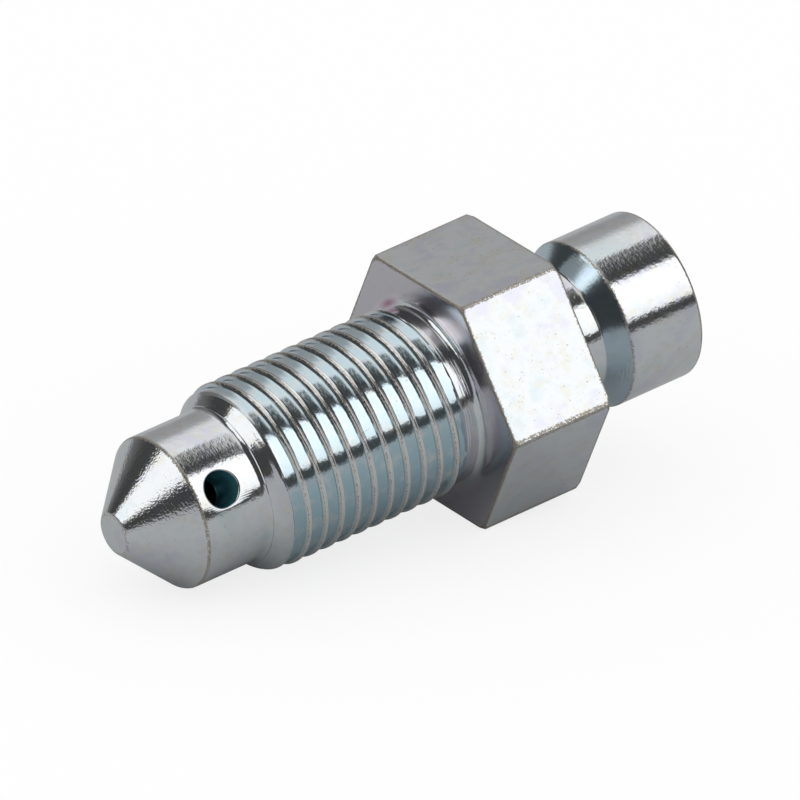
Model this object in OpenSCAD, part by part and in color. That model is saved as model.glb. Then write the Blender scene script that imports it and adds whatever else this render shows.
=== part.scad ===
/* [Seat and nose] */
// Included angle of the cone that seals in the port
seat_angle = 90; // [60:1:120]
// Diameter of the flat at the tip
tip_d = 2.2; // [1:0.1:4]
// Rounding of the tip's edge
tip_round = 0.25; // [0.05:0.05:0.5]
// Diameter of the plain nose
nose_d = 8; // [6.5:0.1:8.6]
// Length of the plain nose between the cone and the thread
nose_l = 3.8; // [3:0.02:8]
// Rounding of the edge between the cone and the nose
nose_round = 0.2; // [0.05:0.05:0.5]
// How far the collar in front of the thread stands above the nose
collar_rise = 0.12; // [0.05:0.01:0.2]
// Length of the collar behind its chamfer
collar_l = 0.14; // [0.05:0.01:0.3]

/* [Thread] */
// Diameter over the crests of the thread
thread_d = 9.8; // [9.2:0.05:12]
// Rise of the thread in one turn
pitch = 1; // [0.9:0.05:1.5]
// Length from the start of the lead-in to the end of the run-out
thread_l = 11.55; // [6:0.01:20]
// Width of the flat on each crest
crest_flat = 0.2; // [0.1:0.01:0.25]
// Width of the flat in each root
root_flat = 0.57; // [0.4:0.01:0.6]
// Angle between the two flanks of one groove
flank_angle = 60; // [45:1:75]
// Angle of the chamfer in front of the thread, from the axis
lead_angle = 42; // [30:1:50]
// Length over which the first ridge grows to its full height
growth_l = 1.5; // [0.5:0.1:2]
// Length over which the thread fades out
runout_l = 0.7; // [0.3:0.05:1.2]
// Turn of the thread's start round the axis, from the underside
thread_turn = 30; // [0:1:359]

/* [Relief behind the thread] */
// Depth of the plain stretch below the crests
relief_depth = 0.35; // [0.15:0.05:0.5]
// Length of the plain stretch between the thread and the hexagon
relief_l = 0.9; // [0.6:0.05:3]
// Fillet between the plain stretch and the hexagon's face
relief_fillet = 0.35; // [0.1:0.05:0.5]

/* [Hexagon] */
// Width of the hexagon across its flats
across_flats = 12.7; // [11.8:0.05:17]
// Length of the hexagon along the axis
hex_l = 5.9; // [3:0.1:10]
// How far the turned chamfer goes down the corners at the front face
front_cut = 0.15; // [0.05:0.05:0.6]
// How far the turned chamfer goes down the corners at the back face
back_cut = 0.25; // [0.05:0.05:0.6]
// Angle of both chamfers from the hexagon's faces
corner_angle = 35; // [20:1:60]

/* [Neck and head] */
// Diameter of the neck behind the hexagon
neck_d = 6.5; // [5:0.1:8]
// Length of the neck, from the hexagon to the cone behind the head
neck_l = 2.6; // [1:0.1:6]
// Fillet where the neck meets the cone
neck_fillet = 0.2; // [0.05:0.05:0.4]
// Angle of the cone behind the head, from the axis
barb_angle = 51; // [30:1:70]
// Diameter of the head that holds a hose or a dust cap
head_d = 8.8; // [8.4:0.05:11]
// Length of the head behind the cone
head_l = 4.3; // [2:0.1:8]
// Rounding of the head's front edge
head_round = 0.1; // [0.05:0.05:0.3]
// Rounding of the head's rim
rim_round = 0.35; // [0.05:0.05:0.6]

/* [Passage] */
// Diameter of the drilling along the axis
passage_d = 3; // [1.5:0.1:4]
// How far the full drilling runs past the middle of the cross hole
passage_past_port = 0.9; // [0.6:0.05:1.2]
// Included angle of the drill's point
drill_angle = 118; // [90:1:140]
// Width of the chamfer at the mouth of the drilling
mouth_chamfer = 0.3; // [0.1:0.05:0.5]
// Diameter of the cross hole through the nose
port_d = 1.85; // [1:0.05:2.4]
// Distance from the cone's edge to the middle of the cross hole
port_setback = 1.5; // [1.2:0.05:2.4]
// Depth of the broken edge round the cross hole
port_edge = 0.08; // [0.02:0.01:0.2]
// Turn of the cross hole round the axis, from the underside
port_turn = 237; // [0:1:359]

/* [Hidden] */
zinc = [0.74, 0.78, 0.79];
$fn = 72;

// Radii
tip_r = tip_d / 2;
nose_r = nose_d / 2;
collar_r = nose_r + collar_rise;
thread_r = thread_d / 2;
relief_r = thread_r - relief_depth;
flat_r = across_flats / 2;
corner_r = flat_r / cos(30);
neck_r = neck_d / 2;
head_r = head_d / 2;
passage_r = passage_d / 2;

// Cuts run this far out of the surface that they open
past = 1;
// Facets round the hexagon's chamfers
chamfer_facets = 120;

// Stations along the axis, from the tip
seat_l = (nose_r - tip_r) / tan(seat_angle / 2);
thread_z = seat_l + nose_l;
relief_z = thread_z + thread_l;
hex_z = relief_z + relief_l;
hex_middle_z = hex_z + hex_l / 2;
hex_end_z = hex_z + hex_l;
barb_z = hex_end_z + neck_l;
head_z = barb_z + (head_r - neck_r) / tan(barb_angle);
end_z = head_z + head_l;
port_z = seat_l + port_setback;
passage_z = port_z - passage_past_port;

// Thread rows: share of a turn and share of the depth, from one crest to the next
flank_l = (pitch - crest_flat - root_flat) / 2;
thread_depth = flank_l / tan(flank_angle / 2);
crest_share = crest_flat / pitch;
flank_share = flank_l / pitch;
thread_form = [
    [-crest_share / 2, 0],
    [crest_share / 2, 0],
    [crest_share / 2 + flank_share, 1],
    [1 - crest_share / 2 - flank_share, 1]
];
form_rows = len(thread_form);
thread_steps = 60;
// Both ends of the thread stand this much over the plain stretches that they meet
end_rise = 0.05;
lead_r = collar_r + end_rise;
runout_r = relief_r + end_rise;
// No row of the thread comes nearer to its end faces than this
row_gap = 0.04;
// Rows are looked for over this many turns more than the thread has
spare_turns = 3;
all_rows = form_rows * (ceil(thread_l / pitch) + spare_turns);

function unit(v) = v / norm(v);
function limit(v) = max(0, min(1, v));

// Outline corner b between a and c, rounded by an arc of radius size
arc_steps = 6;
function corner(a, b, c, size) =
    let (
        to_a = unit(a - b),
        to_c = unit(c - b),
        half = acos(to_a * to_c) / 2,
        centre = b + unit(to_a + to_c) * size / sin(half),
        start = b + to_a * size / tan(half) - centre,
        end = b + to_c * size / tan(half) - centre,
        swing = acos(-(to_a * to_c))
    )
    [for (k = [0:arc_steps])
        let (share = k / arc_steps)
        centre + (start * sin(swing * (1 - share)) + end * sin(swing * share)) / sin(swing)];

// Outline whose points are [radius, height] or [radius, height, rounding]
function flat_point(p) = [p[0], p[1]];
function outline(points) =
    let (n = len(points))
    [for (i = [0:n - 1])
        each is_undef(points[i][2])
            ? [flat_point(points[i])]
            : corner(
                flat_point(points[(i + n - 1) % n]),
                flat_point(points[i]),
                flat_point(points[(i + 1) % n]),
                points[i][2])];

module turned(points) {
    rotate_extrude() polygon(outline(points));
}

// Tip, sealing cone, plain nose and the collar in front of the thread
module nose() {
    collar_z = thread_z - collar_l;
    turned([
        [0, 0],
        [tip_r, 0, tip_round],
        [nose_r, seat_l, nose_round],
        [nose_r, collar_z - collar_rise],
        [collar_r, collar_z],
        [collar_r, thread_z],
        [0, thread_z]
    ]);
}

// Height of a row of the thread at one step round the axis
function row_z(step, row) =
    thread_z + pitch * (floor(row / form_rows) - 1 + thread_form[row % form_rows][0]
        + step / thread_steps - thread_turn / 360);

// Radius of the thread at height z and at a share of its depth
function thread_radius(z, depth) =
    let (
        root_r = min(thread_r - thread_depth, lead_r + (z - thread_z) * tan(lead_angle)),
        growth = limit((z - thread_z) / growth_l),
        full_r = root_r + thread_depth * (1 - depth) * growth,
        fade = limit((relief_z - z) / runout_l)
    )
    runout_r + (full_r - runout_r) * fade;

function polar(r, step, z) =
    let (turn = 360 * step / thread_steps)
    [r * cos(turn), r * sin(turn), z];

function row_radius(step, row) = thread_radius(row_z(step, row), thread_form[row % form_rows][1]);
function row_point(step, row) = polar(row_radius(step, row), step, row_z(step, row));

// Rows of the thread that lie between its two end faces at one step round the axis
function rows_at(step) =
    [for (row = [0:all_rows])
        if (row_z(step, row) > thread_z + row_gap && row_z(step, row) < relief_z - row_gap) row];

// At rest the plug stands on the front edge of its lowest flat and tips forward until its underside touches
under_points = concat([[nose_r, seat_l]], [for (row = rows_at(0)) [row_radius(0, row), row_z(0, row)]]);
rest_tilt = min([for (p = under_points) atan((flat_r - p[0]) / (hex_z - p[1]))]);

// Triangles that share the first corner of a small face
function fan(face) = [for (k = [1:len(face) - 2]) [face[0], face[k], face[k + 1]]];

// Right-hand thread as one closed surface: rows of points climb round the axis and end on two flat rings
module thread() {
    rows_in = [for (step = [0:thread_steps - 1]) rows_at(step)];
    firsts = [for (rows = rows_in) rows[0]];
    counts = [for (rows = rows_in) len(rows) + 2];
    starts = [for (i = 0, sum = 0; i < thread_steps; sum = sum + counts[i], i = i + 1) sum];

    points = [for (step = [0:thread_steps - 1]) each concat(
        [polar(lead_r, step, thread_z)],
        [for (row = rows_in[step]) row_point(step, row)],
        [polar(runout_r, step, relief_z)]
    )];

    // After a full turn the rows carry on as the rows of the next turn
    function around(step) = step % thread_steps;
    function carry(step) = step < thread_steps ? 0 : form_rows;
    function first(step) = firsts[around(step)] - carry(step);
    function last(step) = first(step) + len(rows_in[around(step)]) - 1;
    function at(step, row) = starts[around(step)] + 1 + row - first(step);
    function low(step) = starts[around(step)];
    function high(step) = starts[around(step)] + counts[around(step)] - 1;

    flanks = [for (step = [0:thread_steps - 1], row = [first(step):last(step + 1) - 1])
        each fan([at(step, row), at(step, row + 1), at(step + 1, row + 1), at(step + 1, row)])];
    lead_in = [for (step = [0:thread_steps - 1])
        each fan(concat(
            [at(step, first(step))],
            [for (row = [first(step):-1:first(step + 1)]) at(step + 1, row)],
            [low(step + 1), low(step)]
        ))];
    run_out = [for (step = [0:thread_steps - 1])
        each fan(concat(
            [at(step + 1, last(step + 1))],
            [for (row = [last(step + 1):last(step)]) at(step, row)],
            [high(step), high(step + 1)]
        ))];
    end_faces = [
        [for (step = [0:thread_steps - 1]) low(step)],
        [for (step = [thread_steps - 1:-1:0]) high(step)]
    ];
    polyhedron(points, concat(flanks, lead_in, run_out, end_faces));
}

// Plain stretch behind the thread, with the fillet that runs into the hexagon
module relief() {
    flare_r = relief_r + 2 * relief_fillet;
    turned([
        [0, relief_z],
        [relief_r, relief_z],
        [relief_r, hex_z, relief_fillet],
        [flare_r, hex_z],
        [flare_r, hex_middle_z],
        [0, hex_middle_z]
    ]);
}

// Hexagon with its corners turned back at both faces
module hexagon() {
    front_r = corner_r - front_cut / tan(corner_angle);
    back_r = corner_r - back_cut / tan(corner_angle);
    outer_r = corner_r + end_rise;
    front_l = (outer_r - front_r) * tan(corner_angle);
    back_l = (outer_r - back_r) * tan(corner_angle);
    intersection() {
        translate([0, 0, hex_z])
            rotate([0, 0, 30])
                cylinder(h = hex_l, r = corner_r, $fn = 6);
        // The turned chamfers are in fine facets, so that each flat has straight edges
        hull() {
            translate([0, 0, hex_z])
                cylinder(h = front_l, r1 = front_r, r2 = outer_r, $fn = chamfer_facets);
            translate([0, 0, hex_end_z - back_l])
                cylinder(h = back_l, r1 = outer_r, r2 = back_r, $fn = chamfer_facets);
        }
    }
}

// Neck, cone and head, over which a hose or a dust cap is pushed
module head() {
    turned([
        [0, hex_middle_z],
        [neck_r, hex_middle_z],
        [neck_r, barb_z, neck_fillet],
        [head_r, head_z, head_round],
        [head_r, end_z, rim_round],
        [0, end_z]
    ]);
}

// Blind drilling from the head to just past the cross hole
module passage() {
    mouth_r = passage_r + mouth_chamfer;
    turned([
        [0, passage_z - passage_r / tan(drill_angle / 2)],
        [passage_r, passage_z],
        [passage_r, end_z - mouth_chamfer],
        [mouth_r, end_z],
        [mouth_r, end_z + past],
        [0, end_z + past]
    ]);
}

// Cross hole from one side of the nose into the drilling, with a broken edge
module port() {
    translate([0, 0, port_z])
        rotate([0, 90, port_turn]) {
            cylinder(h = nose_r + past, d = port_d);
            translate([0, 0, nose_r - port_edge])
                cylinder(h = port_edge + past, d1 = port_d, d2 = port_d + 2 * (port_edge + past));
        }
}

// The plug, lying on its hexagon and its thread, with the origin at the middle of the hexagon's front face
module breather_plug() {
    color(zinc)
        rotate([0, 90 - rest_tilt, 0])
            translate([0, 0, -hex_z])
                difference() {
                    union() {
                        nose();
                        thread();
                        relief();
                        hexagon();
                        head();
                    }
                    passage();
                    port();
                }
}

breather_plug();
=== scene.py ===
import math

import bmesh
import bpy
import numpy as np
from mathutils import Matrix, Vector


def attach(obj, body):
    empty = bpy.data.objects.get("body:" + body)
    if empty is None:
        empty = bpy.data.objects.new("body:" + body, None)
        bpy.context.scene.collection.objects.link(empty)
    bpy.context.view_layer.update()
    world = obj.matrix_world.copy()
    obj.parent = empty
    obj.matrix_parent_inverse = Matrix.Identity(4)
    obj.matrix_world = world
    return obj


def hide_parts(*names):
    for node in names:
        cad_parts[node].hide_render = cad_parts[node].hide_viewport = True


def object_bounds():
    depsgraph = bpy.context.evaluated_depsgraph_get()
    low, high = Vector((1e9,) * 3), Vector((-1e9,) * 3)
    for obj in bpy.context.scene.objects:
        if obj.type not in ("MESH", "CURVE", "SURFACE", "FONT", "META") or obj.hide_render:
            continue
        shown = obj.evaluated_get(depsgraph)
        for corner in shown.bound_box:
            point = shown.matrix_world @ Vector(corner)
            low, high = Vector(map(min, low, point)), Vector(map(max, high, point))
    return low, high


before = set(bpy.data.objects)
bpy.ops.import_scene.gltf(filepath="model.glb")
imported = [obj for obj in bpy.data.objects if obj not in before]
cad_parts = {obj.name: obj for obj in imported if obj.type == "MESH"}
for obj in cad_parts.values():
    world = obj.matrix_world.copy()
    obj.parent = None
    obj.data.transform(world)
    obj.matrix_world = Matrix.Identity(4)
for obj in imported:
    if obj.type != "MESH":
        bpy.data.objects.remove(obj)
cad_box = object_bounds()


def mm(value):
    return value / 1000


def tan(angle):
    return math.tan(math.radians(angle))


# Sizes of the plug as in part.scad, in millimetres and degrees. Turns round the axis start at the underside
SEAT_ANGLE = 90
TIP_R = 1.1
TIP_ROUND = 0.25
NOSE_R = 4
NOSE_L = 3.8
NOSE_ROUND = 0.2
COLLAR_R = 4.12
THREAD_R = 4.9
THREAD_L = 11.55
THREAD_DEPTH = 0.199
PITCH = 1
LEAD_ANGLE = 42
THREAD_TURN = 30
RELIEF_R = 4.55
RELIEF_L = 0.9
RELIEF_FILLET = 0.35
FLAT_R = 6.35
HEX_L = 5.9
FRONT_CUT = 0.15
CORNER_ANGLE = 35
NECK_R = 3.25
NECK_L = 2.6
NECK_FILLET = 0.2
BARB_ANGLE = 51
HEAD_R = 4.4
HEAD_L = 4.3
HEAD_ROUND = 0.1
BORE_R = 1.5
BORE_PAST_PORT = 0.9
MOUTH_CHAMFER = 0.3
DRILL_ANGLE = 118
PORT_R = 0.925
PORT_SETBACK = 1.5
PORT_TURN = 237
# How far the plug tips forward at rest
REST_TILT = 7.54411

# Places along the axis, from the tip
SEAT_Z = (NOSE_R - TIP_R) / tan(SEAT_ANGLE / 2)
PORT_Z = SEAT_Z + PORT_SETBACK
BORE_Z = PORT_Z - BORE_PAST_PORT
THREAD_Z = SEAT_Z + NOSE_L
RELIEF_Z = THREAD_Z + THREAD_L
HEX_Z = RELIEF_Z + RELIEF_L
HEX_END_Z = HEX_Z + HEX_L
BARB_Z = HEX_END_Z + NECK_L
HEAD_Z = BARB_Z + (HEAD_R - NECK_R) / tan(BARB_ANGLE)
END_Z = HEAD_Z + HEAD_L

# Sizes that part.scad sets otherwise. The flank behind each crest faces the head
COLLAR_L = 0.05
END_RISE = 0.03
GROWTH_L = 1.25
CREST_FLAT = 0.16
BACK_FLANK = 0.06
ROOT_FLAT = 0.65
BACK_CUT = 0.18
PORT_EDGE = 0.09
RIM_ROUND = 0.15
# A tighter rim reaches further, so the head is this much shorter and stays in the solid's box
RIM_TRIM = 0.03

# Small forms that only the finished surface has
COLLAR_COVE = 0.45
CREST_GROOVE = 0.02
ROOT_BLEND = 0.06
RUNOUT_ANGLE = 52
RUNOUT_SINK = 0.07
RUNOUT_BLEND = 0.05
RELIEF_LEAN = 10
RING_R = 4.97
RING_W = 0.3
RING_DEPTH = 0.03
HEX_ROUND = 0.07
CORNER_ROUND = 0.1

# How far the edges are rubbed, where it is less than 1
TIP_WEAR = 0.6
NOSE_WEAR = 0.8
FLANK_WEAR = 0.62
CORNER_WEAR = 0.8
HEAD_WEAR = 0.7
RIM_WEAR = 0.8
# The thread's front flank is rubbed over this share of its depth from the crest
RUBBED_DEPTH = 0.5
# The hexagon is rubbed this many degrees either side of its corners
RUBBED_CORNER = 1.4

# Camera, in the row frame: degrees and millimetres
VIEW_AZIMUTH = -36.471
VIEW_ELEVATION = 25.964
VIEW_ROLL = 1.090
VIEW_DISTANCE = 1108.1
VIEW_AIM = (-1.206, 0.692, -0.330)
LENS = 1011.07
SENSOR = 36

# Columns of the mesh: degrees from each corner of the hexagon, then even steps to the middle of the flat
CORNER_STEPS = [0, 0.12, 0.24, 0.36, 0.48, 0.8, 1.4, 2.2, 3.2, 4.4, 5.8]
FLAT_STEPS = 16
CORNERS = range(30, 390, 60)


def column_turns():
    half = CORNER_STEPS + list(np.linspace(CORNER_STEPS[-1], 30, FLAT_STEPS + 1)[1:])
    turns = set()
    for corner in CORNERS:
        for step in half:
            turns.add(round((corner + step) % 360, 6))
            turns.add(round((corner - step) % 360, 6))
    return np.array(sorted(turns))


TURNS = column_turns()
COLUMNS = len(TURNS)
# Degrees from each column to its nearest corner
FROM_CORNER = TURNS % 60 - 30


def placed(points):
    """Millimetres round the plug's own axis, as metres in the row frame."""
    tilt = math.radians(REST_TILT)
    x, y, z = np.asarray(points, float).T
    along = z - HEX_Z
    return mm(np.stack([
        x * math.sin(tilt) + along * math.cos(tilt),
        y,
        along * math.sin(tilt) - x * math.cos(tilt),
    ], 1))


def on_axis(points):
    """Metres in the row frame, as millimetres round the plug's own axis."""
    tilt = math.radians(REST_TILT)
    x, y, z = np.asarray(points, float).T * 1000
    return np.stack([
        x * math.sin(tilt) - z * math.cos(tilt),
        y,
        x * math.cos(tilt) + z * math.sin(tilt) + HEX_Z,
    ], 1)


def row(r, z, wear=0):
    """A row of the mesh: radius, height and wear at each column, from numbers or arrays."""
    return np.stack([np.broadcast_to(np.asarray(v, float), COLUMNS) for v in (r, z, wear)], 1)


ARC_STEPS = 5
# An unworn row lies this far from a rounded corner, on each side that is longer than GUARD_ROOM guards
GUARD = 0.15
NARROW_GUARD = 0.06
GUARD_ROOM = 6


def rounded(a, b, c, size, wear, guard=GUARD):
    """Rows for the outline's corner b between a and c, rounded."""
    a, b, c = (np.array(p[:2], float) for p in (a, b, c))
    a_side, c_side = np.linalg.norm(a - b), np.linalg.norm(c - b)
    to_a, to_c = (a - b) / a_side, (c - b) / c_side
    half = math.acos(to_a @ to_c) / 2
    centre = b + (to_a + to_c) / np.linalg.norm(to_a + to_c) * size / math.sin(half)
    start = b + to_a * size / math.tan(half) - centre
    end = b + to_c * size / math.tan(half) - centre
    swing = math.pi - 2 * half
    rows = []
    if a_side > GUARD_ROOM * guard:
        rows.append(row(*(centre + start + to_a * guard)))
    for k in range(ARC_STEPS + 1):
        share = k / ARC_STEPS
        spoke = start * math.sin(swing * (1 - share)) + end * math.sin(swing * share)
        rows.append(row(*(centre + spoke / math.sin(swing)), wear))
    if c_side > GUARD_ROOM * guard:
        rows.append(row(*(centre + end + to_c * guard)))
    return rows


def turned(points):
    """Rows of a turned outline: radius, height and, where a corner is round, its radius, wear and guard."""
    rows = []
    for k, point in enumerate(points):
        if len(point) > 2:
            rows += rounded(points[k - 1], point, points[k + 1], *point[2:])
        else:
            rows.append(row(*point))
    return rows


def cove(from_r, to_r, to_z, size):
    """Rows of a hollow curve that leaves one cylinder and rises to the edge of a wider one."""
    sweep = math.acos(1 - (to_r - from_r) / size)
    angles = [sweep * k / ARC_STEPS for k in range(ARC_STEPS + 1)]
    start_z = to_z - size * math.sin(sweep)
    return [row(from_r + size * (1 - math.cos(a)), start_z + size * math.sin(a)) for a in angles]


def nose_rows():
    plain = turned([
        (0, 0),
        (TIP_R, 0, TIP_ROUND, TIP_WEAR, NARROW_GUARD),
        (NOSE_R, SEAT_Z, NOSE_ROUND, NOSE_WEAR, NARROW_GUARD),
        (NOSE_R, PORT_Z),
    ])
    collar = cove(NOSE_R, COLLAR_R, THREAD_Z - COLLAR_L, COLLAR_COVE)
    return plain + collar + [row(COLLAR_R, THREAD_Z)]


# Thread form from the middle of one crest to the next: offset in millimetres and share of the depth
CREST_HALF = CREST_FLAT / 2
FRONT_FLANK = PITCH - CREST_FLAT - BACK_FLANK - ROOT_FLAT
ROOT_START = CREST_HALF + BACK_FLANK
ROOT_END = PITCH - CREST_HALF - FRONT_FLANK
GROOVE_HALF = 0.025
SHOULDER = 0.05
ROOT_INSET = 0.03
ROOT_STEP = 0.12
THREAD_FORM = [
    # Crest with a groove in its middle
    (0, CREST_GROOVE / THREAD_DEPTH),
    (GROOVE_HALF, 0),
    (SHOULDER, 0),
    (CREST_HALF, 0.06),
    # Flank that faces the head
    (CREST_HALF + 0.2 * BACK_FLANK, 0.24),
    (CREST_HALF + 0.75 * BACK_FLANK, 0.74),
    # Root
    (ROOT_START, 0.93),
    (ROOT_START + ROOT_INSET, 1),
    (ROOT_START + ROOT_INSET + ROOT_STEP, 1),
    (ROOT_START + ROOT_INSET + 2 * ROOT_STEP, 1),
    (ROOT_END - ROOT_INSET - 2 * ROOT_STEP, 1),
    (ROOT_END - ROOT_INSET - ROOT_STEP, 1),
    (ROOT_END - 0.04, 0.98),
    (ROOT_END + 0.01, 0.92),
    # Flank that faces the tip
    (ROOT_END + 0.3 * FRONT_FLANK, 0.68),
    (ROOT_END + 0.8 * FRONT_FLANK, 0.22),
    # Near half of the next crest
    (PITCH - CREST_HALF, 0.06),
    (PITCH - SHOULDER, 0),
    (PITCH - GROOVE_HALF, 0),
]
PITCH_ROWS = len(THREAD_FORM)
# Rows run over this many turns more than the thread has, because they climb as they go round
SPARE_TURNS = 4


def soft_min(a, b, size):
    """The smaller of a and b, with the corner where they cross rounded off."""
    share = np.maximum(size - np.abs(a - b), 0) / size
    return np.minimum(a, b) - share**2 * size / 4


def thread_rows():
    """Rows that climb with the helix, pressed together where they leave the thread's two ends."""
    rows = []
    turns_long = math.ceil((RELIEF_Z - THREAD_Z) / PITCH) + SPARE_TURNS
    for k in range(PITCH_ROWS * turns_long):
        offset, depth = THREAD_FORM[k % PITCH_ROWS]
        z = THREAD_Z + offset + PITCH * (k // PITCH_ROWS - 1 + (TURNS - THREAD_TURN) / 360)
        z = np.clip(z, THREAD_Z, RELIEF_Z)
        lead_r = COLLAR_R + END_RISE + (z - THREAD_Z) * tan(LEAD_ANGLE)
        root_r = soft_min(THREAD_R - THREAD_DEPTH, lead_r, ROOT_BLEND)
        growth = np.clip((z - THREAD_Z) / GROWTH_L, 0, 1) ** 2
        full_r = root_r + THREAD_DEPTH * (1 - depth) * growth
        runout_r = RELIEF_R - RUNOUT_SINK + (RELIEF_Z - z) * tan(RUNOUT_ANGLE)
        # The flank that faces the tip is rubbed near the crest
        rubbed = offset > PITCH / 2 and 0 < depth < RUBBED_DEPTH
        wear = growth * (FLANK_WEAR if rubbed else 0)
        rows.append(row(soft_min(full_r, runout_r, RUNOUT_BLEND), z, wear))
    return rows


def relief_rows():
    low_r = RELIEF_R - (HEX_Z - RELIEF_FILLET - RELIEF_Z) * tan(RELIEF_LEAN)
    return turned([
        (low_r, RELIEF_Z),
        (RELIEF_R, HEX_Z + RING_DEPTH, RELIEF_FILLET, 0),
        (RING_R, HEX_Z + RING_DEPTH),
        (RING_R + RING_W, HEX_Z),
        (RING_R + RING_W + GUARD, HEX_Z),
    ])


def hexagon_radius():
    """Distance from the axis to the hexagon's outline at each column, its corners rounded."""
    away = np.radians(FROM_CORNER)
    straight = FLAT_R / np.cos(math.radians(30) - np.abs(away))
    centre = (FLAT_R - CORNER_ROUND) / math.cos(math.radians(30))
    inside = np.maximum(CORNER_ROUND**2 - (centre * np.sin(away)) ** 2, 0)
    arc = centre * np.cos(away) + np.sqrt(inside)
    reach = math.atan2(CORNER_ROUND / 2, centre + CORNER_ROUND * math.cos(math.radians(30)))
    return np.where(np.abs(away) < reach, arc, straight)


def edge_rows(cut):
    """Rows from a hexagon's face round its edge: radius and distance behind the face."""
    outline = hexagon_radius()
    face_r = np.minimum(outline, FLAT_R / math.cos(math.radians(30)) - cut / tan(CORNER_ANGLE))
    lean = math.radians(CORNER_ANGLE)
    # Arcs at the chamfer's two edges: distance of their centres from the axis and behind the face
    first_r = face_r - HEX_ROUND * math.tan(lean / 2)
    first_z = np.full(COLUMNS, HEX_ROUND)
    last_r = outline - HEX_ROUND
    last_z = ((last_r - face_r) * math.sin(lean) + HEX_ROUND) / math.cos(lean)
    # Where the chamfer is too narrow for both, they are one arc
    narrow = first_r > last_r
    first_r = np.where(narrow, last_r, first_r)
    last_z = np.where(narrow, first_z, last_z)
    rows = [row(first_r - GUARD, 0)]
    for share in (0, 0.5, 1):
        angle = lean * share
        rows.append(row(first_r + HEX_ROUND * math.sin(angle), first_z - HEX_ROUND * math.cos(angle), 1))
    for share in (0, 0.33, 0.67, 1):
        angle = lean + (math.pi / 2 - lean) * share
        rows.append(row(last_r + HEX_ROUND * math.sin(angle), last_z - HEX_ROUND * math.cos(angle), 1))
    at_corner = np.abs(FROM_CORNER) < RUBBED_CORNER
    rows.append(row(outline, last_z + GUARD, np.where(at_corner, CORNER_WEAR, 0)))
    return rows


def hexagon_rows():
    front = edge_rows(FRONT_CUT)
    back = edge_rows(BACK_CUT)
    for rows in front:
        rows[:, 1] = HEX_Z + rows[:, 1]
    for rows in back:
        rows[:, 1] = HEX_END_Z - rows[:, 1]
    return front + back[::-1]


def head_rows():
    face_z = END_Z - RIM_TRIM
    return turned([
        (NECK_R, HEX_END_Z),
        (NECK_R, BARB_Z, NECK_FILLET, 0),
        (HEAD_R, HEAD_Z, HEAD_ROUND, HEAD_WEAR),
        (HEAD_R, face_z, RIM_ROUND, RIM_WEAR, NARROW_GUARD),
        (BORE_R + MOUTH_CHAMFER, face_z),
        (BORE_R, face_z - MOUTH_CHAMFER),
        (BORE_R, BORE_Z),
        (0, BORE_Z - BORE_R / tan(DRILL_ANGLE / 2)),
    ])


# Vertices nearer than this, in millimetres, are one
WELD = 0.0002


def close_up(mesh):
    """Joins vertices that meet and turns all faces outwards."""
    work = bmesh.new()
    work.from_mesh(mesh)
    bmesh.ops.remove_doubles(work, verts=work.verts, dist=mm(WELD))
    bmesh.ops.recalc_face_normals(work, faces=work.faces)
    work.to_mesh(mesh)
    work.free()
    return mesh


def plug_mesh():
    """The whole plug as one closed surface, without its cross hole."""
    before, thread, after = nose_rows(), thread_rows(), relief_rows() + hexagon_rows() + head_rows()
    rows = np.array(before + thread + after)
    radius, height, wear = rows[..., 0], rows[..., 1], rows[..., 2]
    turn = np.radians(TURNS)
    points = np.stack([radius * np.cos(turn), radius * np.sin(turn), height], -1).reshape(-1, 3)
    first, last = len(before), len(before) + len(thread) - 1
    faces = []
    for k in range(len(rows) - 1):
        for j in range(COLUMNS):
            near, far = k, k + 1
            if j == COLUMNS - 1 and first <= k < last:
                # The helix carries on one pitch further at the end of a turn
                near, far = k + PITCH_ROWS, k + 1 + PITCH_ROWS
                if far > last:
                    continue
            n = (j + 1) % COLUMNS
            faces.append((k * COLUMNS + j, near * COLUMNS + n, far * COLUMNS + n, (k + 1) * COLUMNS + j))
    mesh = bpy.data.meshes.new("plug_surface")
    mesh.from_pydata(placed(points).tolist(), [], faces)
    mesh.attributes.new("wear", "FLOAT", "POINT").data.foreach_set("value", wear.ravel().astype(np.float32))
    return close_up(mesh)


# The cross hole's cutter: columns round it, steps of its rounded mouth, and how far it stands out, in mm
PORT_SIDES = 72
MOUTH_STEPS = 3
PAST = 1


def port_mesh():
    """What the cross hole takes away, from inside the drilling to outside the nose."""
    outline = [(0, -NOSE_R), (PORT_R, -NOSE_R)]
    for k in range(MOUTH_STEPS + 1):
        a = math.pi / 2 * k / MOUTH_STEPS
        outline.append((PORT_R + PORT_EDGE * (1 - math.cos(a)), -PORT_EDGE * (1 - math.sin(a))))
    outline += [(PORT_R + PORT_EDGE, PAST), (0, PAST)]
    turn = math.radians(PORT_TURN)
    out = np.array([math.cos(turn), math.sin(turn), 0])
    side = np.array([-math.sin(turn), math.cos(turn), 0])
    points, faces = [], []
    for r, above in outline:
        for k in range(PORT_SIDES):
            a = 2 * math.pi * k / PORT_SIDES
            # Heights count from the nose's round surface, and the inner end is flat
            surface = math.sqrt(NOSE_R**2 - (r * math.cos(a)) ** 2) if above > -NOSE_R else NOSE_R
            up = np.array([0, 0, PORT_Z + r * math.sin(a)])
            points.append(out * (surface + above) + side * r * math.cos(a) + up)
    for k in range(len(outline) - 1):
        for j in range(PORT_SIDES):
            n = (j + 1) % PORT_SIDES
            low, high = k * PORT_SIDES, (k + 1) * PORT_SIDES
            faces.append([low + j, low + n, high + n, high + j])
    mesh = bpy.data.meshes.new("port_cut")
    mesh.from_pydata(placed(points).tolist(), [], faces)
    return close_up(mesh)


SHARP_ANGLE = 38


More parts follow.
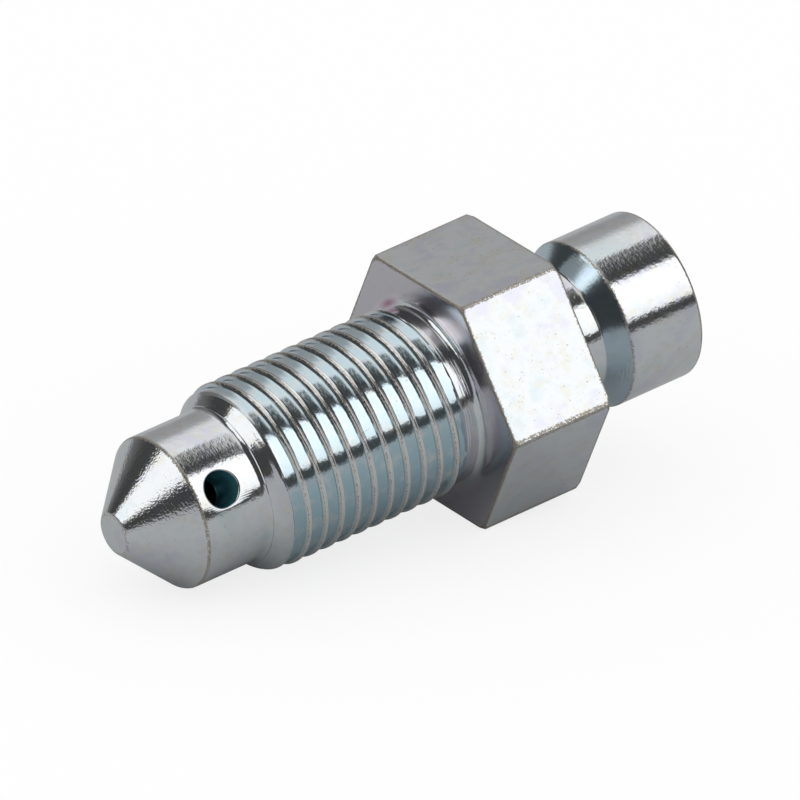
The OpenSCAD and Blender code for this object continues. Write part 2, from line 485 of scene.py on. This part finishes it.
def make_plug(material):
    plug = bpy.data.objects.new("plug", plug_mesh())
    cutter = bpy.data.objects.new("port_cutter", port_mesh())
    for thing in (plug, cutter):
        bpy.context.scene.collection.objects.link(thing)
    cut = plug.modifiers.new("cross hole", "BOOLEAN")
    cut.operation = "DIFFERENCE"
    cut.solver = "EXACT"
    cut.object = cutter
    whole = bpy.data.meshes.new_from_object(plug.evaluated_get(bpy.context.evaluated_depsgraph_get()))
    plug.modifiers.clear()
    plug.data = whole
    bpy.data.objects.remove(cutter)

    # Each vertex keeps its place round the plug's own axis, for the material
    places = np.empty(len(whole.vertices) * 3)
    whole.vertices.foreach_get("co", places)
    own = on_axis(places.reshape(-1, 3)).astype(np.float32)
    whole.attributes.new("place", "FLOAT_VECTOR", "POINT").data.foreach_set("vector", own.ravel())
    whole.polygons.foreach_set("use_smooth", [True] * len(whole.polygons))
    whole.set_sharp_from_angle(angle=math.radians(SHARP_ANGLE))
    weighted = plug.modifiers.new("normals", "WEIGHTED_NORMAL")
    weighted.keep_sharp = True
    whole.materials.clear()
    whole.materials.append(material)
    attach(plug, "root")
    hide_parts("breather_plug")


class Nodes:
    """Short calls for building a node tree. Values are numbers, colours or other nodes' outputs."""

    def __init__(self, tree):
        self.tree = tree
        tree.nodes.clear()

    def add(self, kind, **settings):
        node = self.tree.nodes.new(kind)
        for name, value in settings.items():
            setattr(node, name, value)
        return node

    def put(self, value, socket):
        if isinstance(value, bpy.types.NodeSocket):
            self.tree.links.new(value, socket)
        else:
            socket.default_value = value

    def math(self, operation, *values):
        node = self.add("ShaderNodeMath", operation=operation)
        for value, socket in zip(values, node.inputs):
            self.put(value, socket)
        return node.outputs[0]

    def times(self, result, *values):
        for value in values:
            result = self.math("MULTIPLY", result, value)
        return result

    def plus(self, result, *values):
        for value in values:
            result = self.math("ADD", result, value)
        return result

    def minus(self, a, b):
        return self.math("SUBTRACT", a, b)

    def hypotenuse(self, a, b):
        return self.math("SQRT", self.plus(self.times(a, a), self.times(b, b)))

    def join(self, x, y, z):
        node = self.add("ShaderNodeCombineXYZ")
        for value, socket in zip((x, y, z), node.inputs):
            self.put(value, socket)
        return node.outputs[0]

    def split(self, vector):
        node = self.add("ShaderNodeSeparateXYZ")
        self.put(vector, node.inputs[0])
        return node.outputs

    def noise(self, vector, scale, detail, roughness):
        node = self.add("ShaderNodeTexNoise")
        self.put(vector, node.inputs["Vector"])
        node.inputs["Scale"].default_value = scale
        node.inputs["Detail"].default_value = detail
        node.inputs["Roughness"].default_value = roughness
        return node.outputs["Fac"]

    def rise(self, value, low, high):
        """0 below low, 1 above high, smooth in between; falls where low is above high."""
        node = self.add("ShaderNodeMapRange", interpolation_type="SMOOTHSTEP")
        self.put(value, node.inputs["Value"])
        if low < high:
            ends = (low, high, 0, 1)
        else:
            ends = (high, low, 1, 0)
        for name, end in zip(("From Min", "From Max", "To Min", "To Max"), ends):
            node.inputs[name].default_value = end
        return node.outputs["Result"]

    def mix(self, share, a, b):
        node = self.add("ShaderNodeMix", data_type="RGBA")
        self.put(share, node.inputs["Factor"])
        for value, socket in ((a, node.inputs[6]), (b, node.inputs[7])):
            self.put((*value, 1) if isinstance(value, tuple) else value, socket)
        return node.outputs[2]

    def ramp(self, value, stops):
        """Grey by value, from pairs of position and brightness."""
        node = self.add("ShaderNodeValToRGB")
        self.put(value, node.inputs[0])
        band = node.color_ramp
        while len(band.elements) < len(stops):
            band.elements.new(1)
        for element, (position, brightness) in zip(band.elements, stops):
            element.position = position
            element.color = (brightness, brightness, brightness, 1)
        return node.outputs["Color"]

    def finish(self, kind, shader):
        output = self.add(kind)
        self.put(shader.outputs[0], output.inputs["Surface"])


# Bright zinc plate and its tints, as linear colours. Some also carry painted shade: the darker blue of the
# lower roots, the front face's slate and the cross hole's dark teal
ZINC = (0.76, 0.785, 0.8)
LILAC = (0.7, 0.71, 0.79)
TAN = (0.74, 0.73, 0.67)
TEAL = (0.66, 0.74, 0.77)
ROOT_SHADED_BLUE = (0.43, 0.59, 0.66)
ROOT_PALE = (0.61, 0.74, 0.8)
BARB_BLUE = (0.6, 0.71, 0.78)
FACE_SHADE_SLATE = (0.69, 0.66, 0.71)
RING_LILAC = (0.79, 0.72, 0.79)
CREST_CREAM = (0.82, 0.8, 0.75)
STAIN_PINK = (0.5, 0.27, 0.4)
WORN = (0.31, 0.26, 0.19)
DIRT = (0.09, 0.075, 0.06)
PORT_SHADE_TEAL = (0.1, 0.36, 0.42)

# The one pink stain, round the foot of the thread: its distance from the axis, turn and half sizes
STAIN_R = 4.85
STAIN_TURN = 145
STAIN_REACH = 1.3
STAIN_HALF_W = 0.35

# Noises: scale in features a millimetre, detail and roughness
CLOUDS = (0.55, 3, 0.6)
PATCHES = (1.3, 2, 0.6)
SPOTS = (8, 1, 0.5)
GRAIN = (9, 1, 0.5)
SPECKS = (10, 2, 0.6)
# Tool marks: features a radian round the axis, features a millimetre along it, and detail
STREAKS = (15, 5, 2)
LINES = (2, 9, 1)
# Keeps tool marks from dividing by nought on the axis
LEAST_R = 0.05

# Values of the noises at which each tint starts and is full, and how strong it is where it is less than 1
LILAC_RANGE = (0.5, 0.66)
TEAL_RANGE = (0.46, 0.3)
TAN_RANGE = (0.48, 0.7)
TAN_SHARE = 0.7
ROOT_RANGE = (0.9, 0.45)
CREST_RANGE = (0.3, 0.6)
WORN_RANGE = (0.5, 0.8)
WORN_SHARE = 0.85
DIRT_RANGE = (0.35, 0.6)
SPOT_RANGE = (0.71, 0.78)
SPOT_SHARE = 0.25
HEXAGON_SPOT_SHARE = 0.15
# Depths under the crests at which the root's and the crest's tints start and are full
ROOT_DEPTHS = (0.08, 0.17)
CREST_DEPTHS = (0.05, 0.015)
# Roots are pale as far down as the first place and a darker blue from the second, which is painted shade on
# the lower roots. Both count downwards from the axis, so they lie above it
ROOT_SHADE_PLACES = (-2.2, -0.4)
# Usual width over which one kind of surface goes over into the next
SOFT = 0.1
# How far outside the cross hole its dark teal colour, which is painted shade, starts, and where it is full
PORT_FADE = (0.012, 0.004)
# The middle value of a noise. Wear and specks together rub the edges, and patches gather the spots
MIDDLE = 0.5
WEAR_GAIN = 0.95
SPECK_GAIN = 2
PATCH_GAIN = 0.3

# Roughness of the plate, and what grain, wear, the hexagon's face and the cross hole add to it
PLATE_ROUGH = 0.07
GRAIN_ROUGH = 0.08
WORN_ROUGH = 0.2
FACE_ROUGH = 0.1
PORT_ROUGH = 0.12
# How much of the metal's shine goes where it is worn, and in the cross hole
WORN_DULL = 0.4
PORT_DULL = 0.3

# Heights of the tool marks and of the grain, and what turned parts and the seat add to the grain. A height
# of 1 stands for MARK_DEPTH millimetres
MARKS = 0.6
GRAIN_MARKS = 0.15
TURNED_GRAIN = 0.2
SEAT_GRAIN = 0.6
MARK_DEPTH = 0.01
# The tool marks on the cone are this share even lines
BARB_LINES = 0.8


class Plate(Nodes):
    """The plated steel's node tree: each point's place on the plug, and where each kind of surface lies."""

    def __init__(self, tree):
        super().__init__(tree)
        self.place = self.add("ShaderNodeAttribute", attribute_name="place").outputs["Vector"]
        self.x, self.y, self.z = self.split(self.place)
        self.r = self.hypotenuse(self.x, self.y)
        self.grain = self.noise(self.place, *GRAIN)
        self.patches = self.noise(self.place, *PATCHES)
        self.specks = self.noise(self.place, *SPECKS)

        r, z = self.r, self.z
        past_ring = self.rise(r, RING_R - SOFT, RING_R)
        self.in_thread = self.times(
            self.rise(z, THREAD_Z + PITCH / 2, THREAD_Z + PITCH),
            self.rise(z, RELIEF_Z, RELIEF_Z - 4 * SOFT),
        )
        self.in_relief = self.times(
            self.rise(z, RELIEF_Z - 3 * SOFT, RELIEF_Z),
            self.rise(z, HEX_Z - SOFT, HEX_Z - 3 * SOFT),
        )
        self.hexagon = self.times(
            self.rise(z, HEX_Z - SOFT, HEX_Z),
            self.rise(z, HEX_END_Z + SOFT, HEX_END_Z),
            past_ring,
        )
        self.before_edge = self.rise(z, HEX_Z + HEX_ROUND + SOFT / 10, HEX_Z + HEX_ROUND - SOFT / 10)
        self.face = self.times(self.before_edge, past_ring)
        self.plain_face = self.times(self.face, self.rise(r, RING_R + SOFT / 2, RING_R + RING_W + SOFT))
        self.barb = self.times(
            self.rise(z, BARB_Z, BARB_Z + SOFT),
            self.rise(z, HEAD_Z, HEAD_Z - SOFT / 2),
            self.rise(r, NECK_R - SOFT, NECK_R),
        )
        from_port = self.hypotenuse(self.sideways(PORT_TURN), self.minus(z, PORT_Z))
        self.in_port = self.times(
            self.rise(self.minus(from_port, PORT_R), *PORT_FADE),
            self.rise(self.outwards(PORT_TURN), 0, 5 * SOFT),
        )

        # Edges are rubbed through in specks
        wear = self.add("ShaderNodeAttribute", attribute_name="wear").outputs["Fac"]
        specks = self.minus(self.specks, MIDDLE)
        rubbed = self.plus(self.times(wear, WEAR_GAIN), self.times(specks, SPECK_GAIN))
        self.worn = self.rise(rubbed, *WORN_RANGE)

    def outwards(self, turn):
        """How far a point lies from the axis in the direction of a turn."""
        a = math.radians(turn)
        return self.plus(self.times(self.x, math.cos(a)), self.times(self.y, math.sin(a)))

    def sideways(self, turn):
        """How far a point lies to the side of that direction."""
        return self.outwards(turn + 90)

    def marks(self, around, along, detail):
        """Noise drawn out round the axis, as a cutting tool leaves it."""
        safe_r = self.math("MAXIMUM", self.r, LEAST_R)
        vector = self.join(
            self.times(self.math("DIVIDE", self.x, safe_r), around),
            self.times(self.math("DIVIDE", self.y, safe_r), around),
            self.times(self.plus(self.z, self.r), along),
        )
        return self.noise(vector, 1, detail, 0.5)

    def plating(self):
        """The plate's clouds and patches, and the tints of its thread, cone and front face, with painted
        shade on the lower roots and the front face.
        """
        clouds = self.noise(self.place, *CLOUDS)
        colour = self.mix(self.rise(clouds, *LILAC_RANGE), ZINC, LILAC)
        colour = self.mix(self.rise(clouds, *TEAL_RANGE), colour, TEAL)
        colour = self.mix(self.times(self.rise(self.patches, *TAN_RANGE), TAN_SHARE), colour, TAN)
        # Roots have a blue tint, and it goes darker towards the bottom as painted shade
        root_tint_and_shade = self.mix(self.rise(self.x, *ROOT_SHADE_PLACES), ROOT_PALE, ROOT_SHADED_BLUE)
        root = self.times(self.thread_part(ROOT_DEPTHS), self.rise(self.patches, *ROOT_RANGE))
        colour = self.mix(root, colour, root_tint_and_shade)
        colour = self.mix(self.barb, colour, BARB_BLUE)
        # The front face is painted a darker slate, a lilac tint with painted shade. Its dished ring keeps a
        # lighter lilac
        colour = self.mix(self.face, colour, self.mix(self.plain_face, RING_LILAC, FACE_SHADE_SLATE))
        colour = self.mix(self.stain(), colour, STAIN_PINK)
        crest = self.times(self.thread_part(CREST_DEPTHS), self.rise(self.grain, *CREST_RANGE))
        return self.mix(crest, colour, CREST_CREAM)

    def thread_part(self, depths):
        """The thread's surface between two depths under its crests, where it starts and is full."""
        start, full = depths
        return self.times(self.in_thread, self.rise(self.r, THREAD_R - start, THREAD_R - full))

    def stain(self):
        from_middle = self.math("ABSOLUTE", self.sideways(STAIN_TURN))
        from_ring = self.math("ABSOLUTE", self.minus(self.r, STAIN_R))
        return self.times(
            self.rise(self.z, HEX_Z - 5 * SOFT, HEX_Z - 3 * SOFT),
            self.before_edge,
            self.rise(from_middle, STAIN_REACH, 0),
            self.rise(from_ring, STAIN_HALF_W, 0),
            self.rise(self.outwards(STAIN_TURN), 0, 1),
        )

    def colour(self):
        """The plate with its tan worn edges, its dark spots and the cross hole painted dark teal as painted
        shade.
        """
        worn_colour = self.mix(self.rise(self.specks, *DIRT_RANGE), DIRT, WORN)
        colour = self.mix(self.times(self.worn, WORN_SHARE), self.plating(), worn_colour)
        # Spots gather in patches and show more on the hexagon
        patches = self.minus(self.patches, MIDDLE)
        dirt = self.plus(self.noise(self.place, *SPOTS), self.times(patches, PATCH_GAIN))
        share = self.plus(self.times(self.hexagon, HEXAGON_SPOT_SHARE), SPOT_SHARE)
        colour = self.mix(self.times(self.rise(dirt, *SPOT_RANGE), share), colour, DIRT)
        # The cross hole's walls are painted dark teal: a teal tint with painted shade inside the hole
        return self.mix(self.in_port, colour, PORT_SHADE_TEAL)

    def roughness(self):
        return self.plus(
            self.times(self.grain, GRAIN_ROUGH),
            PLATE_ROUGH,
            self.times(self.worn, WORN_ROUGH),
            self.times(self.plain_face, FACE_ROUGH),
            self.times(self.in_port, PORT_ROUGH),
        )

    def metallic(self):
        dull = self.math("MAXIMUM", self.times(self.worn, WORN_DULL), self.times(self.in_port, PORT_DULL))
        return self.minus(1, dull)

    def height(self):
        """Even lines on the relief and the cone, streaks on the other turned parts, and grain."""
        turned_part = self.minus(1, self.hexagon)
        even = self.math("MAXIMUM", self.in_relief, self.times(self.barb, BARB_LINES))
        streaked = self.minus(turned_part, even)
        on_seat = self.rise(self.z, SEAT_Z + SOFT, SEAT_Z - SOFT)
        graininess = self.plus(
            self.times(self.minus(streaked, self.in_thread), TURNED_GRAIN),
            GRAIN_MARKS,
            self.times(on_seat, SEAT_GRAIN),
        )
        height = self.plus(
            self.times(self.marks(*STREAKS), streaked, MARKS),
            self.times(self.marks(*LINES), even, MARKS),
            self.times(self.grain, graininess),
        )
        return self.times(height, self.minus(1, self.in_port))


def zinc_plate():
    material = bpy.data.materials.new("zinc_plated_steel")
    material.use_nodes = True
    plate = Plate(material.node_tree)
    bump = plate.add("ShaderNodeBump")
    bump.inputs["Strength"].default_value = 1
    bump.inputs["Distance"].default_value = mm(MARK_DEPTH)
    plate.put(plate.height(), bump.inputs["Height"])
    shader = plate.add("ShaderNodeBsdfPrincipled")
    plate.put(plate.metallic(), shader.inputs["Metallic"])
    plate.put(plate.colour(), shader.inputs["Base Color"])
    plate.put(plate.roughness(), shader.inputs["Roughness"])
    plate.put(bump.outputs["Normal"], shader.inputs["Normal"])
    plate.finish("ShaderNodeOutputMaterial", shader)
    return material


# The floor's width in metres, its colour in reflections and its light, its colour to the camera, and the
# share of pure white that the camera sees on it
FLOOR_SIZE = 4
FLOOR_GREY = (0.455, 0.465, 0.47)
FLOOR_WHITE = (0.97, 0.97, 0.97)
FLOOR_GLOW = 0.8


def floor_white():
    material = bpy.data.materials.new("floor")
    material.use_nodes = True
    n = Nodes(material.node_tree)
    camera = n.add("ShaderNodeLightPath").outputs["Is Camera Ray"]
    pale = n.add("ShaderNodeBsdfDiffuse")
    n.put(n.mix(camera, FLOOR_GREY, FLOOR_WHITE), pale.inputs["Color"])
    white = n.add("ShaderNodeEmission")
    mixed = n.add("ShaderNodeMixShader")
    n.put(n.times(camera, FLOOR_GLOW), mixed.inputs[0])
    n.put(pale.outputs[0], mixed.inputs[1])
    n.put(white.outputs[0], mixed.inputs[2])
    n.finish("ShaderNodeOutputMaterial", mixed)
    return material


def make_floor():
    mesh = bpy.data.meshes.new("floor")
    half, low = FLOOR_SIZE / 2, cad_box[0][2]
    corners = [(-half, -half, low), (half, -half, low), (half, half, low), (-half, half, low)]
    mesh.from_pydata(corners, [], [(0, 1, 2, 3)])
    mesh.materials.append(floor_white())
    floor = bpy.data.objects.new("floor", mesh)
    bpy.context.scene.collection.objects.link(floor)


# What the metal reflects: brightness by degrees above the horizon
DIM = 0.06
LEFT_PANEL = [(1, 0.46), (4, DIM), (18, DIM), (21, 1.2), (60, 1.2), (63, DIM), (72, DIM), (76, 0.8)]
RIGHT_PANEL = [(1, 0.46), (4, DIM), (14, DIM), (16, 1.15), (38, 1.4), (59, 1.4), (62, DIM), (74, 0.8)]
DARK_GAP = [(1, 0.46), (4, DIM), (69, DIM), (75, 0.8)]
SOFT_GLOW = [(1, 0.4), (4, 0.3), (20, 0.6), (30, 1.8), (46, 1.6), (58, DIM), (66, DIM), (72, 0.8)]
BACK_WALL = [(1, 0.4), (12, 0.33), (34, 0.4), (46, 0.85), (67, 0.95)]
SIDE_WALL = [(1, 0.3), (4, 0.16), (30, 0.2), (60, 0.42)]
# Round about, the side wall goes over into each of these in turn, between two angles that count from -y
# towards +x
STRETCHES = [
    (-172, -150, DARK_GAP),
    (-130, -127, LEFT_PANEL),
    (-81, -78, DARK_GAP),
    (-2, 3, RIGHT_PANEL),
    (46, 50, DARK_GAP),
    (99, 105, SOFT_GLOW),
    (114, 126, BACK_WALL),
    (168, 178, SIDE_WALL),
]
WHITE = (1, 1, 1)


def make_world():
    """White panels with dark gaps for gloss, an even light for everything else, and a white backdrop."""
    world = bpy.data.worlds.new("studio")
    bpy.context.scene.world = world
    world.use_nodes = True
    n = Nodes(world.node_tree)
    direction = n.add("ShaderNodeTexCoord").outputs["Generated"]
    x, y, z = n.split(direction)
    above = n.times(n.math("ARCSINE", z), math.degrees(1))
    round_about = n.times(n.math("ARCTAN2", x, n.times(y, -1)), math.degrees(1))
    share = n.math("DIVIDE", n.plus(above, 90), 180)

    def by_height(stops):
        return n.ramp(share, [((height + 90) / 180, brightness) for height, brightness in stops])

    light = by_height(SIDE_WALL)
    for start, full, stops in STRETCHES:
        light = n.mix(n.rise(round_about, start, full), light, by_height(stops))
    path = n.add("ShaderNodeLightPath")
    light = n.mix(path.outputs["Is Diffuse Ray"], light, WHITE)
    light = n.mix(path.outputs["Is Camera Ray"], light, WHITE)
    background = n.add("ShaderNodeBackground")
    n.put(light, background.inputs["Color"])
    n.finish("ShaderNodeOutputWorld", background)


def make_camera():
    az, el, roll = (math.radians(a) for a in (VIEW_AZIMUTH, VIEW_ELEVATION, VIEW_ROLL))
    back = Vector((math.sin(az) * math.cos(el), -math.cos(az) * math.cos(el), math.sin(el)))
    level_right = Vector((0, 0, 1)).cross(back).normalized()
    level_up = back.cross(level_right)
    right = math.cos(roll) * level_right + math.sin(roll) * level_up
    up = math.cos(roll) * level_up - math.sin(roll) * level_right
    data = bpy.data.cameras.new("camera")
    data.lens = LENS
    data.sensor_width = SENSOR
    data.clip_start = 0.05
    data.clip_end = 10
    camera = bpy.data.objects.new("camera", data)
    place = Matrix((right, up, back)).transposed().to_4x4()
    place.translation = mm(Vector(VIEW_AIM) + back * VIEW_DISTANCE)
    camera.matrix_world = place
    bpy.context.scene.collection.objects.link(camera)
    bpy.context.scene.camera = camera


make_plug(zinc_plate())
make_floor()
make_world()
make_camera()
bpy.context.scene.view_settings.view_transform = "Standard"
